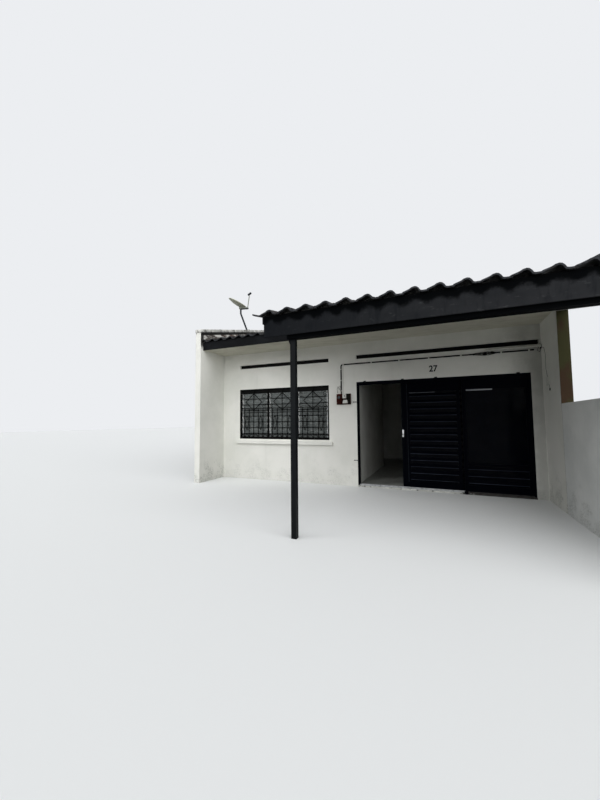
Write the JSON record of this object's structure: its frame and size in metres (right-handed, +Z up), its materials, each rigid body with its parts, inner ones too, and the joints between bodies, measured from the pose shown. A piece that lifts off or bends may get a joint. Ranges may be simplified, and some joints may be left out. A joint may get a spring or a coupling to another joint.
{
  "type": "single-storey terraced house",
  "caption": "Small terraced house with raked parapets, rolled-tile roof, lean-to porch on steel posts, louvred window and sliding door.",
  "frame": {"origin": "underside of the floor slab at its middle, on the ground plane below the ridge", "axes": "+X to the right as seen from the street, +Y from the street into the house, +Z up"},
  "size_m": [7.3489, 13.441, 5.0469],
  "materials": {
    "wall_paint": "flat white wall paint over cement plaster",
    "bare_cement": "weathered cement, mould stained",
    "floor_cement": "smooth cement floor screed",
    "ceiling_board": "cream painted cement board",
    "roof_tile": "worn dark concrete tile",
    "fascia_paint": "charcoal paint, slightly glossy",
    "black_steel": "black painted steel",
    "roof_timber": "rough sawn timber",
    "door_metal": "black powder coated aluminium",
    "track_metal": "worn bare aluminium",
    "tinted_glass": "dark tinted glass",
    "louvre_glass": "obscured louvre glass",
    "meter_timber": "dark brown varnished board",
    "meter_plastic": "pale grey moulded housing",
    "fuse_plastic": "black moulded housing",
    "conduit_plastic": "black conduit",
    "dish_paint": "weathered grey dish paint"
  },
  "bodies": {
    "house": {"back_door": "door_metal", "back_fascia": "fascia_paint", "back_wall": "wall_paint", "back_window_frame": "black_steel", "back_window_glass": "louvre_glass", "ceiling": "ceiling_board", "conduit": "conduit_plastic", "coping_left": "bare_cement", "coping_right": "bare_cement", "dish": "dish_paint", "dish_arm": "black_steel", "dish_mast": "black_steel", "dish_receiver": "meter_plastic", "door_frame": "door_metal", "door_track": "track_metal", "fixed_leaf_glass": "tinted_glass", "floor_slab": "floor_cement", "front_fascia": "fascia_paint", "front_wall_left": "wall_paint", "front_wall_over_door": "wall_paint", "front_wall_pier": "wall_paint", "fuse_box": "fuse_plastic", "gable_wall_left": "wall_paint", "low_wall": "wall_paint", "meter": "meter_plastic", "meter_board": "meter_timber", "middle_leaf": "door_metal", "party_wall_right": "wall_paint", "porch_battens": "black_steel", "porch_beam": "black_steel", "porch_coping": "bare_cement", "porch_fascia": "fascia_paint", "porch_ledger": "black_steel", "porch_party_beam": "wall_paint", "porch_posts": "black_steel", "porch_rafters": "black_steel", "porch_roof": "roof_tile", "porch_side_board": "fascia_paint", "ridge_cap": "roof_tile", "right_leaf": "door_metal", "roof_back": "roof_tile", "roof_front": "roof_tile", "roof_purlins": "roof_timber", "room_walls": "wall_paint", "soffits": "ceiling_board", "threshold": "bare_cement", "vent_screens": "black_steel", "window_frame": "black_steel", "window_grille": "black_steel", "window_louvres": "louvre_glass", "window_sill": "wall_paint"},
    "door_leaf": {"sliding_leaf": "door_metal", "sliding_leaf_glass": "tinted_glass"}
  },
  "joints": [
    {"name": "door_slide", "type": "slide", "parent": "house", "child": "door_leaf", "axis": [-1, 0, 0], "range_m": [-0.95, 0.84]}
  ]
}
